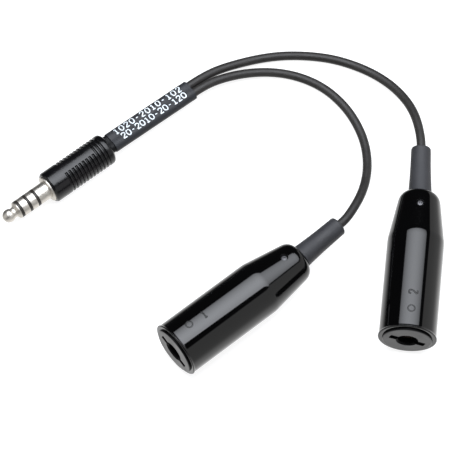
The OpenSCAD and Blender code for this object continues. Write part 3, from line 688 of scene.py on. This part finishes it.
# ---- Jack shells ----
# Each jack is one deep black moulding with a polished skin: a lip round the socket face, a
# straight barrel, a taper, and a rounded rear end for the strain relief. A hole on top takes the
# screw that clamps the cord. A moulded ring mark and the jack's number stand on the barrel.
shell_bore_r, rear_bore_r, relief_hole_r = 9.4, 6.6, 4.05
lip_t, lip_edge, flare_end = 0.6, 0.42, 1.8
taper_end, taper_r, rear_wall_t, bore_taper_at = 57.8, 8.2, 58.2, taper_at - 1
rear_r, shoulder_start = 5.2, 11
screw_t, screw_hole_r, screw_rim_r, screw_rim_t = 54.1, 1.45, 1.6, 0.22
window_half_len, window_half_points = 2.7, 7
ring_t, ring_r, ring_half = 8.3, 1.3, 0.3
number_t, number_foot, number_size, number_half = 14.2, -1.75, 3.1, 0.36
mark_height = 0.12
shell_roll = {"a": 5.7, "b": -2.0}
shell_points = 144
shell_colour, mark_colour = (0.0009, 0.0009, 0.001), (0.004, 0.004, 0.004)


def outer_r(t):
    """Outside radius of the taper."""
    return barrel_r - (t - taper_at) / (taper_end - taper_at) * (barrel_r - taper_r)


def inner_r(t):
    """Inside radius of the taper."""
    return rear_bore_r + ((rear_wall_t - t) / (rear_wall_t - bore_taper_at)
                          * (shell_bore_r - rear_bore_r))


def windowed(radius_at, stations, rim_r):
    """Taper of the shell with a round hole on top. The window's cells are left out of the rings,
    and a patch of rings runs from the hole's rim out to the window's edge, all lifted onto the
    surface: up = sqrt(radius^2 - right^2). Returns the rings, the cells to keep, and the patch."""
    rings = turned(np.stack([radius_at(stations), stations], 1), shell_points)
    low, high = np.searchsorted(stations, [screw_t - window_half_len, screw_t + window_half_len])
    columns = np.arange(-window_half_points, window_half_points + 1) % shell_points
    edge = np.concatenate([
        rings[low, columns], rings[low + 1:high, columns[-1]],
        rings[high, columns[::-1]], rings[low + 1:high, columns[0]][::-1]])
    keep = np.ones((len(stations) - 1, shell_points), bool)
    keep[low:high, columns[:-1]] = False
    flat = edge[:, 1:] - (0, screw_t)
    rim = flat / np.linalg.norm(flat, axis=1, keepdims=True) * rim_r
    w = np.array([0, 0.06, 0.2, 0.45, 0.72, 1.0])[:, None, None]
    patch = rim + w * (flat - rim) + (0, screw_t)
    up = np.sqrt(radius_at(patch[..., 1]) ** 2 - patch[..., 0] ** 2)
    return rings, keep, np.concatenate([up[..., None], patch], -1)


def shell_blocks():
    """Blocks of a shell, and the cells of the first to keep: both walls of its taper from front_t
    to back_t, the front with lip and barrel, the rear, and the screw's hole. Behind the lip the
    radius falls to the barrel's by a square law. The rear shoulder is a quarter ellipse that
    starts in line with the taper."""
    front_t, back_t = 43.2, 57.1
    flare_t = np.linspace(lip_t + lip_edge, flare_end, 9)
    fall = (flare_end - flare_t) / (flare_end - lip_t - lip_edge)
    flare = np.stack([barrel_r + (lip_r - barrel_r) * fall**2, flare_t], 1)
    front = soften(
        [(inner_r(front_t), front_t), (shell_bore_r, bore_taper_at), (shell_bore_r, lip_t),
         (lip_r - 0.38, lip_t), (lip_r - 0.12, lip_t + 0.14), *flare,
         (barrel_r, taper_at), (outer_r(front_t), front_t)],
        [0.1, 0.3, 0.08, 0.08, 0.08, *[0.1] * len(flare), 1.3, 0.1], closed=False)
    angle = np.radians(np.linspace(shoulder_start, 90, 9))
    sine, first = np.sin(angle), np.sin(angle[0])
    shoulder = np.stack([rear_r + (taper_r - rear_r) * np.cos(angle) / np.cos(angle[0]),
                         taper_end + (shell_len - taper_end) * (sine - first) / (1 - first)], 1)
    rear = soften(
        [(outer_r(back_t), back_t), *shoulder, (relief_hole_r, shell_len),
         (relief_hole_r, rear_wall_t), (rear_bore_r, rear_wall_t), (inner_r(back_t), back_t)],
        0.2, closed=False)
    stations = np.linspace(front_t, back_t, 21)
    outside, keep, outer_patch = windowed(outer_r, stations, screw_rim_r)
    inside, _, inner_patch = windowed(inner_r, stations, screw_hole_r)
    rim = outer_patch[0]
    throat = rim * (1, screw_hole_r / screw_rim_r, 1) - (screw_rim_t, 0, 0)
    throat[:, 2] = screw_t + (rim[:, 2] - screw_t) * screw_hole_r / screw_rim_r
    hole = np.stack([rim, throat, inner_patch[0]])
    walls = np.concatenate([outside, inside])
    both_keep = np.concatenate([keep, np.zeros((1, shell_points), bool), keep])
    return both_keep, [walls, turned(front, shell_points), turned(rear, shell_points),
                       outer_patch, inner_patch, hole]


def rolled(points, angle):
    """Points (up, right, along) turned by an angle about the jack's own line, to the left."""
    c, s = np.cos(np.radians(angle)), np.sin(np.radians(angle))
    up, right = points[..., 0], points[..., 1]
    return np.stack([up * c + right * s, right * c - up * s, points[..., 2]], -1)


def on_shell(place, roll):
    """Surface of a jack's barrel: along it, and across its top to the left by arc length. It
    lies a little inside the barrel, so that marks have their feet in it."""
    def surface(along, across, lift):
        turn = across / barrel_r
        r = barrel_r - 0.02 + lift
        return lay(rolled(np.stack([r * np.cos(turn), -r * np.sin(turn), along], -1), roll), place)
    return surface


shell_polish = moulded("shell_black", shell_colour, 260.0, 0.02, (0.05, 0.075), mottle=0.05)
mark_black = moulded("mark_black", mark_colour, 2500.0, 0.2, (0.42, 0.5), Specular_IOR_Level=0.4)
ring_a = np.linspace(0, 2 * np.pi, 33)
ring_mark = np.stack([ring_t + ring_r * np.cos(ring_a), ring_r * np.sin(ring_a)], 1)
for j, number in (("a", "1"), ("b", "2")):
    place, roll = jack_places[j], shell_roll[j]
    keep, blocks = shell_blocks()
    mesh = skin(f"jack_{j}_housing", *(lay(rolled(block, roll), place) for block in blocks),
                keep=keep)
    piece(f"jack_{j}_housing", mesh, shell_polish, "adapter_cord", "shell_black", f"jack_{j}_shell")
    surface = on_shell(place, roll)
    marks = [pen_rings(ring_mark, ring_half, mark_height, surface),
             *written(number, number_t, number_foot, 0.0, number_size, number_half, mark_height,
                      surface)]
    piece(f"jack_{j}_marks", skin(f"jack_{j}_marks", *marks), mark_black, "adapter_cord", None)

# ---- Front bushings ----
# Black bushing with the socket's mouth and two spanner slots. It screws into the shell's thread
# and stands a little out of the lip, and the contact insert comes out behind it. Its face shines
# a little. Its threaded side, the socket and the slot floors take a copy of its material with
# almost no shine: painted shade for the dark gap at the lip and in the recesses.
socket_r, mouth_r, bushing_r, skirt_r = 3.6, 4.25, 9.35, 7.6
face_t, disc_t, bushing_len = -0.15, 2.6, 7.6
slot_half_w, slot_end_r, slot_floor_t, slot_turn, slot_lip = 1.25, 7.05, 1.05, 19.5, 0.08
bushing_colour = (0.004, 0.004, 0.0042)


def bushing_rings():
    """Rings that follow the bushing's outline, with points that follow the slots: at radius r a
    slot's edge is at the angle asin(half width / r) from its middle, and inside the slot's end
    the points between the two edges lie on its floor. The face has a few more rings than its
    flat shape needs, so that the slots' edges stay straight."""
    socket = [(socket_r, disc_t), (socket_r, 0.5), (socket_r + 0.1, 0.4)]
    face_r = [mouth_r, 4.35, 4.8, 5.6, 6.4, slot_end_r - 0.1, slot_end_r]
    outline = np.array([
        *socket, *[(r, face_t) for r in (*face_r, slot_end_r, 7.2, 8.7, 9.0)],
        (9.17, face_t + 0.04), (9.3, face_t + 0.14), (bushing_r, face_t + 0.28),
        (bushing_r, face_t + 0.5), (bushing_r, bushing_len), (skirt_r, bushing_len),
        (skirt_r, disc_t), (socket_r, disc_t)])
    r, t = outline[:, :1], outline[:, 1:]
    slotted = (np.arange(len(outline)) < len(socket) + len(face_r))[:, None]
    half_angle, lip = np.arcsin(slot_half_w / r), slot_lip / r
    floor, land = np.linspace(-1, 1, 5), np.linspace(0, 1, 31)
    half_turn = np.concatenate([
        floor * half_angle, half_angle, half_angle + lip,
        half_angle + 2 * lip + land * (np.pi - 2 * half_angle - 4 * lip),
        np.pi - half_angle - lip, np.pi - half_angle], 1)
    floor_t = np.where(slotted, np.maximum(t, slot_floor_t), t)
    edge_t = np.where(slotted, np.maximum(t, face_t + slot_lip), t)
    half_depth = np.concatenate([floor_t + 0 * floor, edge_t, t, t + 0 * land, t, edge_t], 1)
    angle = np.concatenate([half_turn, half_turn + np.pi], 1) + np.pi / 2 + np.radians(slot_turn)
    depth = np.concatenate([half_depth, half_depth], 1)
    return np.stack([r * np.cos(angle), r * np.sin(angle), depth], -1)


face_plastic = moulded("bushing_black", bushing_colour, 1600.0, 0.3, (0.28, 0.38),
                       Specular_IOR_Level=0.55)
# Same colour and roughness as the face, with almost no shine: painted shade on the side, the socket
# and the slot floors.
side_painted_shade = moulded("bushing_side_painted_shade", bushing_colour, 1600.0, 0.3, (0.28, 0.38),
                       Specular_IOR_Level=0.04)
for j in "ab":
    mesh = skin(f"jack_{j}_face", lay(bushing_rings(), jack_places[j]))
    piece(f"jack_{j}_face", mesh, face_plastic, f"bushing_{j}", "bushing_black",
          f"jack_{j}_bushing")
    # Every cell behind the face takes the shine-less copy, as painted shade.
    mesh.materials.append(side_painted_shade)
    centres = np.zeros(len(mesh.polygons) * 3, np.float32)
    mesh.polygons.foreach_get("center", centres)
    painted_shade_behind_face = station(jack_places[j])(centres.reshape(-1, 3) / mm) > face_t + 0.1
    mesh.polygons.foreach_set("material_index", painted_shade_behind_face.astype(np.int32))

# ---- Clamp screws ----
# A small domed steel screw with a round socket in its head sits below the shell's skin and
# presses on the brass ferrule round the cord.
screw_r, screw_foot, screw_top = 1.4, 3.25, 8.1
screw_outline = soften(
    [(0.0, screw_top - 0.55), (0.42, screw_top - 0.5), (0.55, screw_top - 0.03),
     (0.9, screw_top - 0.1), (1.2, screw_top - 0.3), (screw_r, screw_top - 0.62),
     (screw_r, screw_foot), (0.0, screw_foot)], 0.09, closed=False)
steel = moulded("screw_steel", (0.10, 0.10, 0.105), 1500.0, 0.2, (0.4, 0.5), Metallic=1.0)
screw_rings = turned(screw_outline, 48)[..., [2, 1, 0]] + (0, 0, screw_t)
for j in "ab":
    rings = lay(rolled(screw_rings, shell_roll[j]), jack_places[j])
    piece(f"jack_{j}_screw", skin(f"jack_{j}_screw", rings), steel,
          "adapter_cord", "screw_steel", f"jack_{j}_clamp_screw")

# ---- Strain reliefs ----
# Grey moulded rubber cone on each cord. Its inner flange bears on the shell's rear wall, and the
# free cone leans a little to the left of the jack's line, where the cord pulls it.
relief_root_r, relief_end_r, relief_bore_r = 4.6, 3.8, 1.77
relief_flange_r, relief_neck_r = 5.6, 4.0
relief_front, relief_flange_back, relief_root = -4.3, -3.3, 0.35
relief_colour = (0.0265, 0.027, 0.030)
relief_outline = soften(
    [(relief_bore_r, relief_front), (relief_flange_r, relief_front),
     (relief_flange_r, relief_flange_back), (relief_neck_r, relief_flange_back),
     (relief_neck_r, relief_root), (relief_root_r, relief_root),
     (relief_root_r - 0.2, relief_len * 0.12), (relief_end_r + 0.2, relief_len * 0.48),
     (relief_end_r, relief_len), (relief_bore_r, relief_len)],
    [0.1, 0.1, 0.1, 0.1, 0.1, 0.25, 2.0, 4.0, 0.7, 0.1])


def lean(rings, angle):
    """Turns the points beyond the shell's rear end about that end, to the left."""
    t, left = rings[..., 2] - shell_len, -rings[..., 1]
    c, s = np.cos(np.radians(angle)), np.sin(np.radians(angle))
    out = rings.copy()
    out[..., 2] = np.where(t > 0, shell_len + t * c - left * s, rings[..., 2])
    out[..., 1] = np.where(t > 0, -(left * c + t * s), rings[..., 1])
    return out


relief_rubber = moulded("relief_grey", relief_colour, 1400.0, 0.4, (0.5, 0.62),
                        Specular_IOR_Level=0.35)
relief_rings = turned(relief_outline + (0, shell_len), 72)
for j in "ab":
    rings = lay(lean(relief_rings, relief_lean[j]), jack_places[j])
    piece(f"jack_{j}_relief", skin(f"jack_{j}_relief", rings), relief_rubber,
          "adapter_cord", "relief_grey", f"jack_{j}_strain_relief")

# ---- Parts inside the plug and the jacks ----
# Contact blocks of brown phenolic, black back plates, tinned brass tags and ferrules, nickel
# contact rings, spring-metal leaves and the wires. They stay as turned, cut or bent, and show
# through the socket and when the insert is screwed out.
phenolic = moulded("phenolic_brown", (0.03, 0.016, 0.009), 900.0, 0.4, (0.4, 0.55), mottle=0.25)
plate_black = moulded("plate_black", (0.012, 0.012, 0.013), 1200.0, 0.3, (0.35, 0.5))
brass = moulded("tinned_brass", (0.62, 0.50, 0.30), 1100.0, 0.3, (0.25, 0.42), Metallic=1.0)
nickel_ring = moulded("nickel_ring", nickel_colour, 1100.0, 0.2, (0.15, 0.3), Metallic=1.0)
spring = moulded("spring_metal", (0.66, 0.62, 0.55), 1300.0, 0.25, (0.2, 0.36), Metallic=1.0)
wire_red = moulded("wire_red", (0.22, 0.012, 0.01), 1800.0, 0.2, (0.35, 0.45))
for part, material, slot in (
        ("block", phenolic, "phenolic_brown"), ("back_plate", plate_black, "collar_black"),
        ("solder_tags", brass, "tinned_brass"), ("ferrule", brass, "tinned_brass"),
        ("sleeve_contact", nickel_ring, "nickel_plate"), ("tip_spring", spring, "spring_metal"),
        ("front_ring_spring", spring, "spring_metal"),
        ("rear_ring_spring", spring, "spring_metal"), ("wires", wire_red, "wire_insulation")):
    for j in "ab":
        refinish(f"jack_{j}_{part}", material)
refinish("plug_terminal_block", phenolic)
refinish("plug_solder_tags", brass)
refinish("plug_cord_clamp", brass)
refinish("plug_wires", wire_red)
